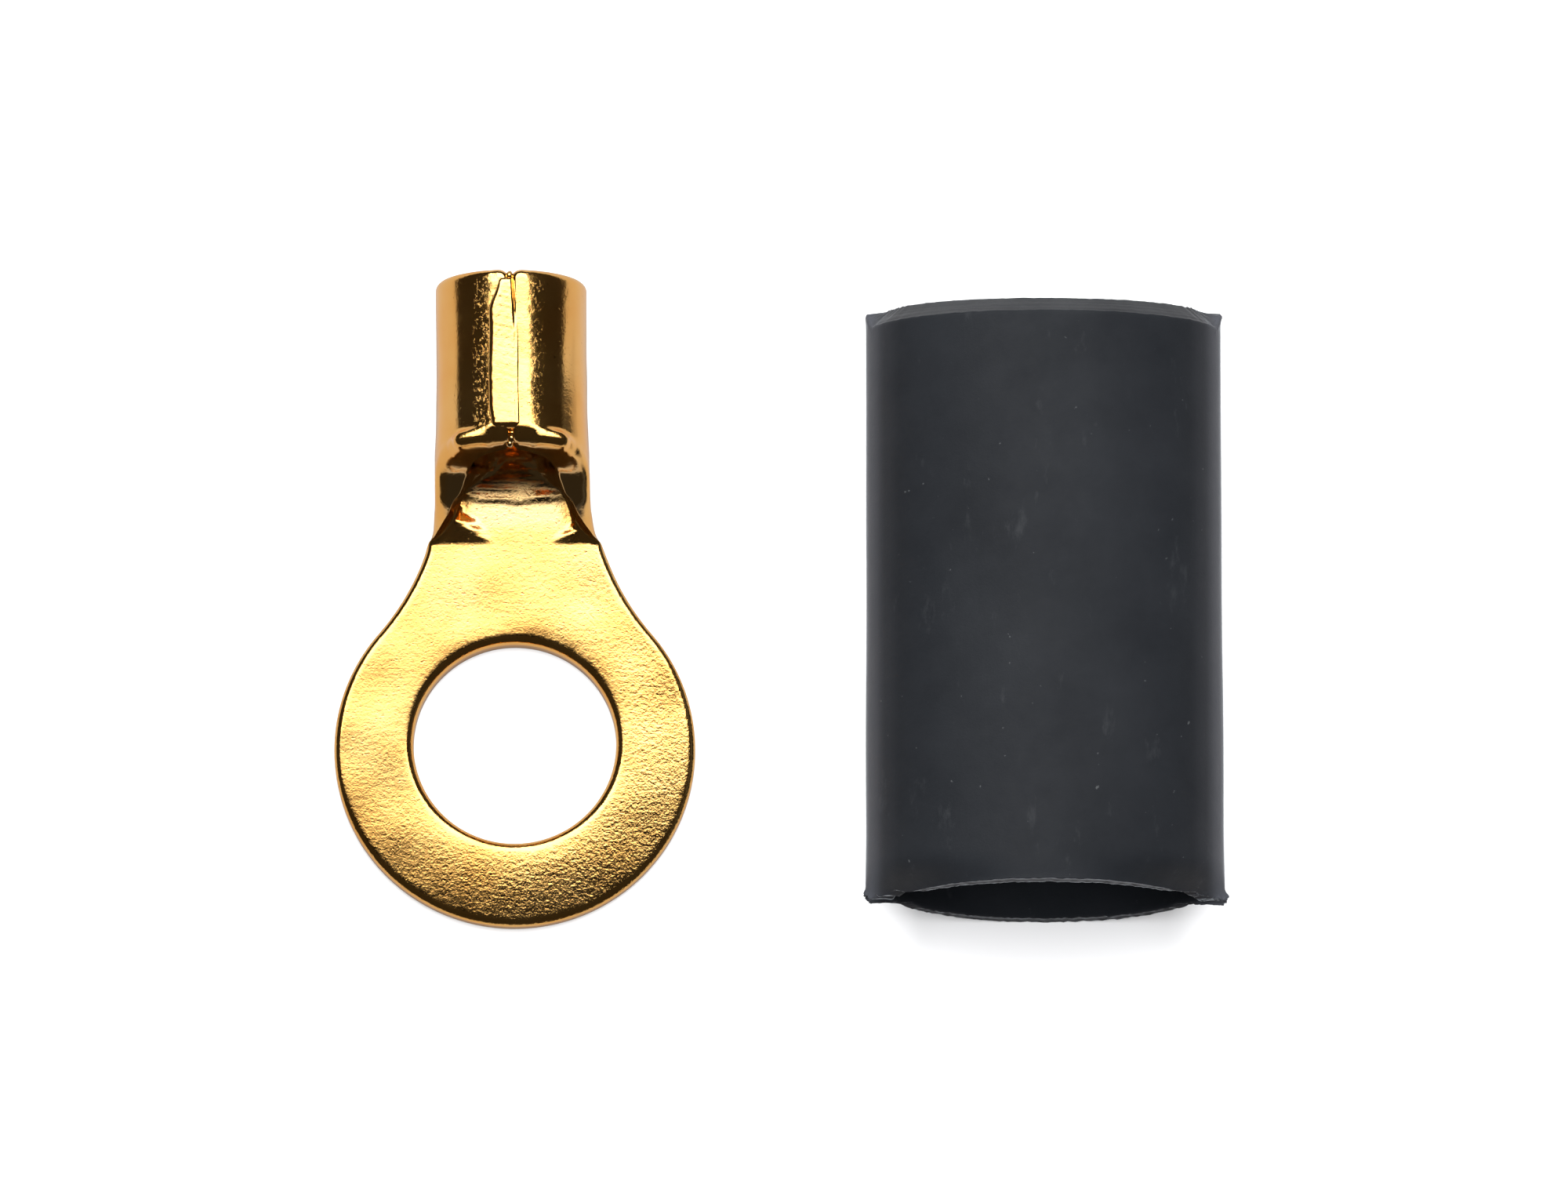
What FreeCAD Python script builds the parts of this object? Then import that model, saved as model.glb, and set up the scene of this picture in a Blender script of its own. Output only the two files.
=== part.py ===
# Ring terminal with its separate heat shrink sleeve, lying side by side.
# Millimetres. +Z up. The origin is the centre of the stud hole on the tongue's
# seating face; +Y runs from the stud hole to the wire barrel; the sleeve lies
# at +X, parallel to the barrel.
import FreeCAD, Part
import math
import os

V = FreeCAD.Vector
os.makedirs("parts", exist_ok=True)

# ---------------------------------------------------------------- terminal
T = 1.00            # sheet thickness
HOLE_R = 4.20       # stud hole, clears an 8 mm or 5/16 in stud
RING_R = 7.48       # outside of the ring
RING_OFF = -0.22    # ring's outer circle sits this far forward of the hole
NECK_R = 10.5       # concave side of the tongue
NECK_ANG = 40.5     # degrees, where that side leaves the ring's circle
Y_CREASE = 8.45     # flat tongue ends here
Y_MOUTH = 11.50     # crown of the closed barrel's front rim
Y_REAR = 18.95      # wire end of the barrel
AXIS_Z = 3.17       # barrel axis above the seating face
BORE_R = 2.15       # wire barrel bore
RIM_REAR = 0.33     # rounding of the barrel's rear outer rim
EDGE_TOP = 0.30     # rounding of the blank's upper edge
EDGE_BOT = 0.20     # rounding of the blank's lower edge
HOLE_TOP = 0.36     # rolled-in upper edge of the punched hole, its lower edge is sharp
RIM_BORE = 0.14     # rounding of the bore's wire end
RIM_FRONT = 0.14    # rounding of the trough's cut edge, inside

# each skin of the formed sheet along Y: half flat at the bottom, widest half
# width, height of the widest place, lowest point, height from widest to crown.
OUTER = [
    (8.45, 3.40, 3.61, 0.50, 0.0, 2.60),
    (8.60, 2.86, 3.48, 0.64, 0.0, 2.60),
    (8.80, 2.30, 3.37, 0.96, 0.0, 2.60),
    (9.05, 1.78, 3.29, 1.42, 0.0, 2.62),
    (9.35, 1.35, 3.23, 1.92, 0.0, 2.66),
    (9.70, 1.00, 3.19, 2.42, 0.0, 2.74),
    (10.10, 0.70, 3.18, 2.80, 0.0, 2.86),
    (10.55, 0.42, 3.18, 3.04, 0.0, 3.00),
    (11.00, 0.16, 3.175, 3.14, 0.0, 3.12),
    (11.50, 0.05, 3.170, AXIS_Z, 0.0, 3.17),
]
INNER = [
    (8.45, 3.30, 3.61, 1.20, T, 3.00),
    (8.60, 2.74, 3.36, 1.36, T, 2.90),
    (8.80, 2.16, 3.15, 1.66, T, 2.75),
    (9.05, 1.70, 2.97, 2.08, T, 2.60),
    (9.35, 1.36, 2.80, 2.52, T, 2.45),
    (9.70, 1.04, 2.65, 2.86, T, 2.35),
    (10.10, 0.74, 2.52, 3.05, T, 2.28),
    (10.55, 0.44, 2.37, 3.14, T, 2.22),
    (11.00, 0.16, 2.24, 3.16, T, 2.18),
    (11.50, 0.04, 2.17, AXIS_Z, T, 2.17),
]
# the barrel: outside radius at even steps from the mouth to the wire end
BARREL_OUT = [3.170, 3.120, 3.085, 3.075, 3.075, 3.082, 3.092, 3.100]
# the blank's cut edge after forming, seen from the side
EDGE = [(8.45, 1.01), (8.60, 1.14), (8.80, 1.58), (9.00, 2.12), (9.20, 2.55),
        (9.40, 2.86), (9.70, 3.14), (10.05, 3.36), (10.40, 3.62), (10.75, 4.05),
        (11.02, 4.68), (11.26, 5.50), (11.50, 6.338)]

# ------------------------------------------------------------------ sleeve
S_X = 21.90         # sleeve axis, from the stud hole
S_Y0 = -7.45        # near end
S_Y1 = 17.30        # far end
S_A = 7.35          # half width of the flattened tube
S_B = 4.40          # half height
S_W = 0.90          # wall
S_BEVEL = 0.70      # the far end is cut on a slant, outer edge set back


def spline(points):
    c = Part.BSplineCurve()
    c.interpolate(points)
    return c.toShape()


def closed(points):
    c = Part.BSplineCurve()
    c.interpolate(Points=points, PeriodicFlag=True)
    return Part.Wire([c.toShape()])


def curve(p0, p1, p2, p3):
    c = Part.BezierCurve()
    c.setPoles([p0, p1, p2, p3])
    return c.toShape()


def skin(row):
    """closed outline of one skin: flat floor and four quarter ellipses."""
    y, f, x, zc, z0, h = row
    k = 0.5523
    fl, d = x - f, zc - z0

    def quarters(s):
        low = curve(V(s * f, y, z0), V(s * (f + k * fl), y, z0),
                    V(s * x, y, zc - k * d), V(s * x, y, zc))
        high = curve(V(s * x, y, zc), V(s * x, y, zc + k * h),
                     V(s * (k * x), y, zc + h), V(0, y, zc + h))
        return low, high

    rl, rh = quarters(1)
    ll, lh = quarters(-1)
    floor = Part.makeLine(V(-f, y, z0), V(f, y, z0))
    return Part.Wire([floor, rl, rh, lh, ll])


def make_tongue():
    a = math.radians(NECK_ANG)
    cx = (RING_R + NECK_R) * math.cos(a)
    cy = RING_OFF + (RING_R + NECK_R) * math.sin(a)
    tx, ty = RING_R * math.cos(a), RING_OFF + RING_R * math.sin(a)
    xe = cx - math.sqrt(NECK_R ** 2 - (cy - Y_CREASE) ** 2)
    ang0 = math.atan2(ty - cy, tx - cx) % (2 * math.pi)
    ang1 = math.atan2(Y_CREASE - cy, xe - cx) % (2 * math.pi)
    am = (ang0 + ang1) / 2
    mx, my = cx + NECK_R * math.cos(am), cy + NECK_R * math.sin(am)
    ring = Part.Arc(V(tx, ty, 0), V(0, RING_OFF - RING_R, 0), V(-tx, ty, 0)).toShape()
    neck_r = Part.Arc(V(xe, Y_CREASE, 0), V(mx, my, 0), V(tx, ty, 0)).toShape()
    neck_l = Part.Arc(V(-tx, ty, 0), V(-mx, my, 0), V(-xe, Y_CREASE, 0)).toShape()
    end = Part.makeLine(V(-xe, Y_CREASE, 0), V(xe, Y_CREASE, 0))
    plate = Part.Face(Part.Wire([ring, neck_l, end, neck_r])).extrude(V(0, 0, T))
    plate = plate.cut(Part.makeCylinder(HOLE_R, T + 2, V(0, 0, -1), V(0, 0, 1)))

    def pick(z, hole_edge):
        out = []
        for e in plate.Edges:
            b = e.BoundBox
            if abs(b.ZMin - z) > 1e-6 or abs(b.ZMax - z) > 1e-6 or b.YMin > Y_CREASE - 1e-6:
                continue
            small = b.XMax < HOLE_R + 1e-3 and b.XMin > -HOLE_R - 1e-3 and b.YMax < HOLE_R + 1e-3
            if small == hole_edge:
                out.append(e)
        return out

    plate = plate.makeFillet(EDGE_TOP, pick(T, False))
    plate = plate.makeFillet(EDGE_BOT, pick(0, False))
    plate = plate.makeFillet(HOLE_TOP, pick(T, True))
    return plate


def barrel_rows(first, radii):
    """outlines of the barrel, the first one being the trough's last."""
    out = [first]
    n = len(radii) - 1
    for i in range(1, n + 1):
        r = radii[i]
        out.append((Y_MOUTH + (Y_REAR - Y_MOUTH) * i / n, first[1], r, AXIS_Z, AXIS_Z - r, r))
    return out


def make_formed():
    """trough and barrel: outer skin less inner skin, trimmed to the blank's
    cut edge, with the rims rounded."""
    trough = Part.makeLoft([skin(r) for r in OUTER], True, False)
    trough = trough.cut(Part.makeLoft([skin(r) for r in INNER], True, False))
    barrel = Part.makeLoft([skin(r) for r in barrel_rows(OUTER[-1], BARREL_OUT)], True, False)
    rear = [e for e in barrel.Edges if e.BoundBox.YMin > Y_REAR - 0.01]
    barrel = barrel.makeFillet(RIM_REAR, rear)
    barrel = barrel.cut(Part.makeCylinder(BORE_R, 12, V(0, Y_MOUTH - 2, AXIS_Z), V(0, 1, 0)))
    lead_in = Part.makeCone(BORE_R - 0.30, BORE_R + 0.30, 0.60,
                            V(0, Y_REAR - RIM_BORE - 0.30, AXIS_Z), V(0, 1, 0))
    barrel = barrel.cut(lead_in)
    edge = spline([V(-6, y, z) for y, z in EDGE])
    up = [V(-6, Y_MOUTH, EDGE[-1][1]), V(-6, Y_MOUTH, 7.5), V(-6, Y_CREASE - 1, 7.5),
          V(-6, Y_CREASE - 1, EDGE[0][1]), V(-6, Y_CREASE, EDGE[0][1])]
    sides = [Part.makeLine(up[i], up[i + 1]) for i in range(4)]
    above = Part.Face(Part.Wire([edge] + sides)).extrude(V(12, 0, 0))
    trough = trough.cut(above)
    # the cut edge's inner corner is rounded over
    inner_edges = [e for e in trough.Edges if e.BoundBox.YLength > 1.5 and e.BoundBox.YMin > 8.7
                   and e.BoundBox.YMax < Y_MOUTH + 0.2 and e.BoundBox.ZMax > 5.0 and e.BoundBox.ZMin < 2]
    trough = trough.makeFillet(RIM_FRONT, inner_edges)
    return trough.fuse(barrel)


def prism(points, y0, y1):
    """straight bar with an XZ outline, from y0 to y1."""
    w = Part.makePolygon([V(x, y0, z) for x, z in points + points[:1]])
    return Part.Face(w).extrude(V(0, y1 - y0, 0))


def make_terminal():
    body = make_tongue().fuse(make_formed())
    # the rolled edges meet at the top in a shallow groove, filled by a bead of
    # braze that stops short of both ends and leaves a notch there
    top = AXIS_Z + 3.14
    groove = prism([(-0.36, top + 0.3), (0.36, top + 0.3), (0.36, top - 0.08),
                    (0.06, top - 0.60), (-0.06, top - 0.60), (-0.36, top - 0.08)],
                   Y_MOUTH - 0.5, Y_REAR + 0.5)
    body = body.cut(groove)
    bead_r = 0.42
    y0, y1 = Y_MOUTH + 0.62, Y_REAR - 0.40
    zc = AXIS_Z + 3.09 - 0.38
    bead = Part.makeCylinder(bead_r, y1 - y0, V(0, y0, zc), V(0, 1, 0))
    bead = bead.fuse(Part.makeSphere(bead_r, V(0, y0, zc)))
    bead = bead.fuse(Part.makeSphere(bead_r * 0.999, V(0, y1, zc)))
    keep = Part.makeCylinder(3.2, Y_REAR - Y_MOUTH, V(0, Y_MOUTH, AXIS_Z), V(0, 1, 0))
    bore = Part.makeCylinder(BORE_R + 0.02, 20, V(0, 5, AXIS_Z), V(0, 1, 0))
    bead = bead.common(keep).cut(bore)
    return body.fuse(bead)


def oval(a, b, y, n=24):
    pts = []
    for i in range(n):
        q = 2 * math.pi * i / n
        pts.append(V(S_X + a * math.cos(q), y, S_B + b * math.sin(q)))
    return closed(pts)


def make_sleeve():
    ym = (S_Y0 + S_Y1) / 2
    outer = Part.makeLoft([oval(S_A + 0.05, S_B, S_Y0), oval(S_A, S_B, S_Y0 + 3),
                           oval(S_A - 0.02, S_B, ym), oval(S_A, S_B, S_Y1 - 3),
                           oval(S_A + 0.03, S_B, S_Y1 - S_BEVEL)], True, False)
    tip = Part.makeLoft([oval(S_A + 0.03, S_B, S_Y1 - S_BEVEL),
                         oval(S_A - S_W + 0.07, S_B - S_W + 0.04, S_Y1)], True, True)
    inner = Part.makeLoft([oval(S_A - S_W, S_B - S_W, S_Y0 - 1),
                           oval(S_A - S_W, S_B - S_W, S_Y1 + 1)], True, True)
    tube = outer.fuse(tip).cut(inner)
    # small ears where the cutter pinched the two folds: short at the near end,
    # long at the far end, where they stand past the slanted cut
    near = (S_Y0, -1, 0.40, ((-0.60, 0.40, 0.20), (0.10, 0.52, 0.22)))
    far = (S_Y1 - S_BEVEL, 1, 0.95, ((-0.40, 0.93, 0.26), (0.82, 0.95, 0.16)))
    for y, sy, back, rows in (near, far):
        for side in (-1, 1):
            x = S_X + side * (S_A - back)
            wires = []
            for dy, dx, h in rows:
                yy = y + sy * dy
                wires.append(Part.makePolygon([V(x, yy, S_B - 0.42), V(x + side * dx, yy, S_B - h),
                                               V(x + side * dx, yy, S_B + h), V(x, yy, S_B + 0.42),
                                               V(x, yy, S_B - 0.42)]))
            tube = tube.fuse(Part.makeLoft(wires, True, True))
    return tube


def report(name, s):
    pts, tri = s.tessellate(0.05)
    lo = [round(min(p[i] for p in pts), 3) for i in range(3)]
    hi = [round(max(p[i] for p in pts), 3) for i in range(3)]
    print(name, "valid", s.isValid(), "solids", len(s.Solids), "faces", len(s.Faces),
          "volume", round(s.Volume, 2), "triangles", len(tri), "from", lo, "to", hi)


terminal = make_terminal()
report("ring_terminal", terminal)
terminal.exportStep("parts/ring_terminal.step")
sleeve = make_sleeve()
report("heat_shrink_sleeve", sleeve)
sleeve.exportStep("parts/heat_shrink_sleeve.step")
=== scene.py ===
# Ring terminal and the loose heat shrink sleeve beside it, on a pale floor.
import math
import bpy
import numpy as np
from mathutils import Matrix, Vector
from mathutils.geometry import delaunay_2d_cdt


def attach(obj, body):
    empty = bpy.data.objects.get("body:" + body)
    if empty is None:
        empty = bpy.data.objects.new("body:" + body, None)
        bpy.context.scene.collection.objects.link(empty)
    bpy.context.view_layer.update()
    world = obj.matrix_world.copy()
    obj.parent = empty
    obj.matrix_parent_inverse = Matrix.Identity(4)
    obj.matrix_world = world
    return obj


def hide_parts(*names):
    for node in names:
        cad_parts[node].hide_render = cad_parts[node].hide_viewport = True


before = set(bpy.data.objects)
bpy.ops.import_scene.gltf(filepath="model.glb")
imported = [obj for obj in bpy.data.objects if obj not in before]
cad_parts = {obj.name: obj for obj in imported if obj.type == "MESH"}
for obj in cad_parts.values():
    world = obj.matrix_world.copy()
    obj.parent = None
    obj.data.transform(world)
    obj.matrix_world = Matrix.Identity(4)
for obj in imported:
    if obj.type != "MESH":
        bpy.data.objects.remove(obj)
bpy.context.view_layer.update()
MM = 0.001
T = 1.00                 # sheet thickness
AXIS_Z = 3.17            # barrel axis height
Y_CREASE, Y_MOUTH, Y_REAR = 8.45, 11.50, 18.95


# ------------------------------------------------------------------ helpers
def curve(xs, ys):
    """smooth curve through the points, with slopes that never overshoot."""
    xs, ys = np.asarray(xs, float), np.asarray(ys, float)
    h = np.diff(xs)
    d = np.diff(ys) / h
    m = np.zeros_like(ys)
    m[0], m[-1] = d[0], d[-1]
    for i in range(1, len(xs) - 1):
        if d[i - 1] * d[i] > 0:
            w1, w2 = 2 * h[i] + h[i - 1], h[i] + 2 * h[i - 1]
            m[i] = (w1 + w2) / (w1 / d[i - 1] + w2 / d[i])

    def f(x):
        x = np.clip(np.asarray(x, float), xs[0], xs[-1])
        i = np.clip(np.searchsorted(xs, x, side="right") - 1, 0, len(xs) - 2)
        t = (x - xs[i]) / h[i]
        return ((2 * t ** 3 - 3 * t ** 2 + 1) * ys[i] + (t ** 3 - 2 * t ** 2 + t) * h[i] * m[i]
                + (-2 * t ** 3 + 3 * t ** 2) * ys[i + 1] + (t ** 3 - t ** 2) * h[i] * m[i + 1])
    return f


def step(x, a, b):
    t = np.clip((np.asarray(x, float) - a) / (b - a), 0, 1)
    return t * t * (3 - 2 * t)


def bell(x, centre, width):
    return np.exp(-((np.asarray(x, float) - centre) / width) ** 2)


def quarter(a, b):
    """length of a quarter ellipse."""
    return math.pi / 4 * (3 * (a + b) - np.sqrt((3 * a + b) * (a + 3 * b)))


rng = np.random.default_rng(7)


def waves(n, lo, hi, seed):
    """smooth seeded unevenness of two variables, about -1 to 1."""
    g = np.random.default_rng(seed)
    k = np.exp(g.uniform(math.log(lo), math.log(hi), n))
    a = g.uniform(0, 2 * math.pi, n)
    p = g.uniform(0, 2 * math.pi, n)
    kx, ky = 2 * math.pi / k * np.cos(a), 2 * math.pi / k * np.sin(a)

    def f(x, y):
        x, y = np.asarray(x, float), np.asarray(y, float)
        out = np.zeros(np.broadcast(x, y).shape)
        for i in range(n):
            out += np.sin(kx[i] * x + ky[i] * y + p[i])
        return out / math.sqrt(n / 2)
    return f


def new_object(name, verts, faces, mat):
    me = bpy.data.meshes.new(name)
    me.from_pydata([tuple(v) for v in np.asarray(verts) * MM], [], [tuple(f) for f in faces])
    me.validate()
    me.update()
    me.polygons.foreach_set("use_smooth", [True] * len(me.polygons))
    ob = bpy.data.objects.new(name, me)
    bpy.context.scene.collection.objects.link(ob)
    me.materials.append(mat)
    return ob


# ---------------------------------------------------------------- materials
def material(name):
    m = bpy.data.materials.new(name)
    m.use_nodes = True
    n, l = m.node_tree.nodes, m.node_tree.links
    return m, n, l, n["Principled BSDF"]


def make_gold():
    m, n, l, bsdf = material("gold_plate")
    tc = n.new("ShaderNodeTexCoord")

    def noise(scale, detail, rough=0.5, stretch=None):
        t = n.new("ShaderNodeTexNoise")
        t.inputs["Scale"].default_value = scale
        t.inputs["Detail"].default_value = detail
        t.inputs["Roughness"].default_value = rough
        if stretch:
            mp = n.new("ShaderNodeMapping")
            mp.inputs["Scale"].default_value = stretch
            l.new(tc.outputs["Object"], mp.inputs["Vector"])
            l.new(mp.outputs["Vector"], t.inputs["Vector"])
        else:
            l.new(tc.outputs["Object"], t.inputs["Vector"])
        return t

    def ramp(src, stops):
        r = n.new("ShaderNodeValToRGB")
        el = r.color_ramp.elements
        while len(el) < len(stops):
            el.new(0.5)
        for e, (p, c) in zip(el, stops):
            e.position, e.color = p, (*c, 1)
        l.new(src, r.inputs["Fac"])
        return r

    # colour: rich plating, a little redder or paler in soft clouds
    cloud = noise(420, 4)
    tint = ramp(cloud.outputs["Fac"], [(0.30, (0.93, 0.49, 0.125)), (0.52, (0.96, 0.55, 0.160)), (0.75, (0.98, 0.61, 0.205))])
    # small dark specks
    speck = noise(5200, 2, 0.6)
    dots = ramp(speck.outputs["Fac"], [(0.70, (1, 1, 1)), (0.78, (0.45, 0.36, 0.26))])
    mix = n.new("ShaderNodeMixRGB")
    mix.blend_type = "MULTIPLY"
    mix.inputs["Fac"].default_value = 0.8
    l.new(tint.outputs["Color"], mix.inputs["Color1"])
    l.new(dots.outputs["Color"], mix.inputs["Color2"])
    # painted shade: inside the trough and the bore the base colour is dulled to a browner gold, so the many-bounce
    # reflections there come out darker brown instead of red
    inside = n.new("ShaderNodeAttribute")
    inside.attribute_name = "trough_shade"
    trough_shade_mix = n.new("ShaderNodeMixRGB")
    trough_shade_mix.inputs["Color2"].default_value = (0.86, 0.565, 0.245, 1)
    l.new(inside.outputs["Fac"], trough_shade_mix.inputs["Fac"])
    l.new(mix.outputs["Color"], trough_shade_mix.inputs["Color1"])
    l.new(trough_shade_mix.outputs["Color"], bsdf.inputs["Base Color"])
    bsdf.inputs["Metallic"].default_value = 1.0
    # roughness: polished with duller clouds
    rough = ramp(noise(900, 5, 0.65).outputs["Fac"], [(0.30, (0.085, 0.085, 0.085)), (0.72, (0.19, 0.19, 0.19))])
    l.new(rough.outputs["Color"], bsdf.inputs["Roughness"])
    # relief: orange peel, faint rolling lines and pits
    peel = noise(5200, 3, 0.6)
    fine = noise(11000, 2, 0.5)
    swell = noise(1100, 2, 0.5)
    lines = noise(2600, 4, 0.6, (0.25, 3.0, 1.0))
    pits = ramp(noise(7500, 1).outputs["Fac"], [(0.22, (0, 0, 0)), (0.34, (1, 1, 1))])
    def masked(src, label):
        at = n.new("ShaderNodeAttribute")
        at.attribute_name = label
        x = n.new("ShaderNodeMath")
        x.operation = "MULTIPLY"
        l.new(src, x.inputs[0])
        l.new(at.outputs["Fac"], x.inputs[1])
        return x.outputs["Value"]

    spatter = ramp(noise(8000, 3, 0.7, (1.0, 0.7, 1.0)).outputs["Fac"], [(0.57, (0, 0, 0)), (0.71, (1, 1, 1))])
    nrm = None
    for tex, dist, strength in ((swell.outputs["Fac"], 5e-5, 0.085), (lines.outputs["Fac"], 1.2e-5, 0.12),
                                (masked(peel.outputs["Fac"], "grainy"), 2.2e-5, 0.62), (masked(fine.outputs["Fac"], "grainy"), 1.2e-5, 0.50),
                                (pits.outputs["Color"], 0.8e-5, 0.35), (masked(spatter.outputs["Color"], "worn"), 4.0e-5, 0.52)):
        b = n.new("ShaderNodeBump")
        b.inputs["Distance"].default_value = dist
        b.inputs["Strength"].default_value = strength
        l.new(tex, b.inputs["Height"])
        if nrm:
            l.new(nrm, b.inputs["Normal"])
        nrm = b.outputs["Normal"]
    l.new(nrm, bsdf.inputs["Normal"])
    return m


def make_shrink(name="shrink_tube"):
    cut = name != "shrink_tube"
    m, n, l, bsdf = material(name)
    tc = n.new("ShaderNodeTexCoord")

    def noise(scale, detail, rough=0.5, stretch=None):
        t = n.new("ShaderNodeTexNoise")
        t.inputs["Scale"].default_value = scale
        t.inputs["Detail"].default_value = detail
        t.inputs["Roughness"].default_value = rough
        src = tc.outputs["Object"]
        if stretch:
            mp = n.new("ShaderNodeMapping")
            mp.inputs["Scale"].default_value = stretch
            l.new(src, mp.inputs["Vector"])
            src = mp.outputs["Vector"]
        l.new(src, t.inputs["Vector"])
        return t

    def ramp(src, stops):
        r = n.new("ShaderNodeValToRGB")
        el = r.color_ramp.elements
        while len(el) < len(stops):
            el.new(0.5)
        for e, (p, c) in zip(el, stops):
            e.position, e.color = p, (*c, 1)
        l.new(src, r.inputs["Fac"])
        return r

    def over(a, b, fac, mode="MIX"):
        x = n.new("ShaderNodeMixRGB")
        x.blend_type = mode
        if isinstance(fac, float):
            x.inputs["Fac"].default_value = fac
        else:
            l.new(fac, x.inputs["Fac"])
        l.new(a, x.inputs["Color1"])
        l.new(b, x.inputs["Color2"])
        return x.outputs["Color"]

    low, high = ((0.0210, 0.0225, 0.0250), (0.0360, 0.0380, 0.0410)) if cut else ((0.0082, 0.0094, 0.0116), (0.0120, 0.0135, 0.0162))
    base = ramp(noise(230, 5, 0.6).outputs["Fac"], [(0.32, low), (0.68, high)])
    scuff = ramp(noise(900, 6, 0.7, (1.0, 0.35, 1.0)).outputs["Fac"], [(0.60, (0, 0, 0)), (0.80, (1, 1, 1))])
    pale = n.new("ShaderNodeRGB")
    pale.outputs[0].default_value = (0.026, 0.028, 0.031, 1)
    col = over(base.outputs["Color"], pale.outputs[0], scuff.outputs["Color"])
    # painted sheen: the folds are coloured paler than the rest, standing in for the sheen on their steep sides
    edge_sheen = n.new("ShaderNodeAttribute")
    edge_sheen.attribute_name = "edge_sheen"
    edge_sheen_colour = n.new("ShaderNodeRGB")
    edge_sheen_colour.outputs[0].default_value = (0.050, 0.053, 0.062, 1)
    col = over(col, edge_sheen_colour.outputs[0], edge_sheen.outputs["Fac"])
    dust = ramp(noise(3400, 2, 0.5).outputs["Fac"], [(0.75, (0, 0, 0)), (0.80, (1, 1, 1))])
    light = n.new("ShaderNodeRGB")
    light.outputs[0].default_value = (0.050, 0.053, 0.056, 1)
    col = over(col, light.outputs[0], dust.outputs["Color"])
    l.new(col, bsdf.inputs["Base Color"])
    rough = ramp(noise(520, 5, 0.7).outputs["Fac"], [(0.3, (0.50, 0.50, 0.50)), (0.7, (0.62, 0.62, 0.62))])
    l.new(rough.outputs["Color"], bsdf.inputs["Roughness"])
    bsdf.inputs["IOR"].default_value = 1.42
    bsdf.inputs["Specular IOR Level"].default_value = 0.22
    bsdf.inputs["Sheen Weight"].default_value = 0.34
    bsdf.inputs["Sheen Roughness"].default_value = 0.22
    bsdf.inputs["Sheen Tint"].default_value = (0.86, 0.93, 1.0, 1)
    nrm = None
    for tex, dist, strength in ((noise(380, 2).outputs["Fac"], 1.2e-4, 0.15), (noise(1500, 5, 0.6, (1.2, 0.3, 1.2)).outputs["Fac"], 3e-5, 0.25),
                                (noise(9000, 3, 0.6).outputs["Fac"], 1.5e-5, 0.35)):
        b = n.new("ShaderNodeBump")
        b.inputs["Distance"].default_value = dist
        b.inputs["Strength"].default_value = strength
        l.new(tex, b.inputs["Height"])
        if nrm:
            l.new(nrm, b.inputs["Normal"])
        nrm = b.outputs["Normal"]
    l.new(nrm, bsdf.inputs["Normal"])
    return m


gold = make_gold()
shrink = make_shrink()

for node, mat in (("ring_terminal", gold), ("heat_shrink_sleeve", shrink)):
    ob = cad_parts[node]
    ob.data.materials.clear()
    ob.data.materials.append(mat)

# ----------------------------------------------------------------- terminal
# The sheet is laid out flat as a blank (u across, y along) and both skins are
# bent from it: flat tongue, open trough, closed barrel. Every cut edge of the
# blank is walked once and rounded over between the skins.
RING_R, RING_OFF, HOLE_R = 7.48, -0.22, 4.20
NECK_R, NECK_ANG = 10.5, math.radians(40.5)
KY = [8.45, 8.60, 8.80, 9.05, 9.35, 9.70, 10.10, 10.55, 11.00, 11.50]
STEP_Y = (Y_REAR - Y_MOUTH) / 7
BY = [Y_MOUTH + STEP_Y * i for i in range(1, 8)]
R_OUT = [3.120, 3.085, 3.075, 3.075, 3.082, 3.092, 3.100]
R_IN = [2.155, 2.15, 2.15, 2.15, 2.15, 2.15, 2.15]


def table(trough, barrel):
    return curve(KY + BY, trough + barrel)


OUT = dict(
    f=table([3.40, 2.86, 2.30, 1.78, 1.35, 1.00, 0.70, 0.42, 0.16, 0.05], [0.03] * 7),
    w=table([3.66, 3.56, 3.45, 3.36, 3.29, 3.23, 3.20, 3.185, 3.175, 3.170], R_OUT),
    c=table([0.50, 0.64, 0.96, 1.42, 1.92, 2.42, 2.80, 3.04, 3.14, 3.17], [AXIS_Z] * 7),
    z=table([0.0] * 10, [AXIS_Z - r for r in R_OUT]),
    h=table([2.60, 2.60, 2.60, 2.62, 2.66, 2.74, 2.86, 3.00, 3.12, 3.17], R_OUT))
INN = dict(
    f=table([3.30, 3.02, 2.80, 2.60, 2.43, 2.29, 2.16, 1.95, 1.40, 0.50], [0.03] * 7),
    w=table([3.61, 3.42, 3.22, 3.06, 2.91, 2.78, 2.64, 2.45, 2.26, 2.17], R_IN),
    c=table([1.20, 1.30, 1.45, 1.65, 1.85, 2.00, 2.12, 2.45, 2.90, 3.17], [AXIS_Z] * 7),
    z=table([T] * 10, [AXIS_Z - r for r in R_IN]),
    h=table([3.00, 2.98, 3.00, 3.05, 3.12, 3.21, 3.21, 2.91, 2.44, 2.17], R_IN))
# how far the inner skin's upright place lies below the outer one's, in degrees
LAG = table([0, 1.5, 4.8, 8.5, 12.4, 15.5, 16.8, 13.7, 6.1, 0.0], [0.0] * 7)


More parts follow.
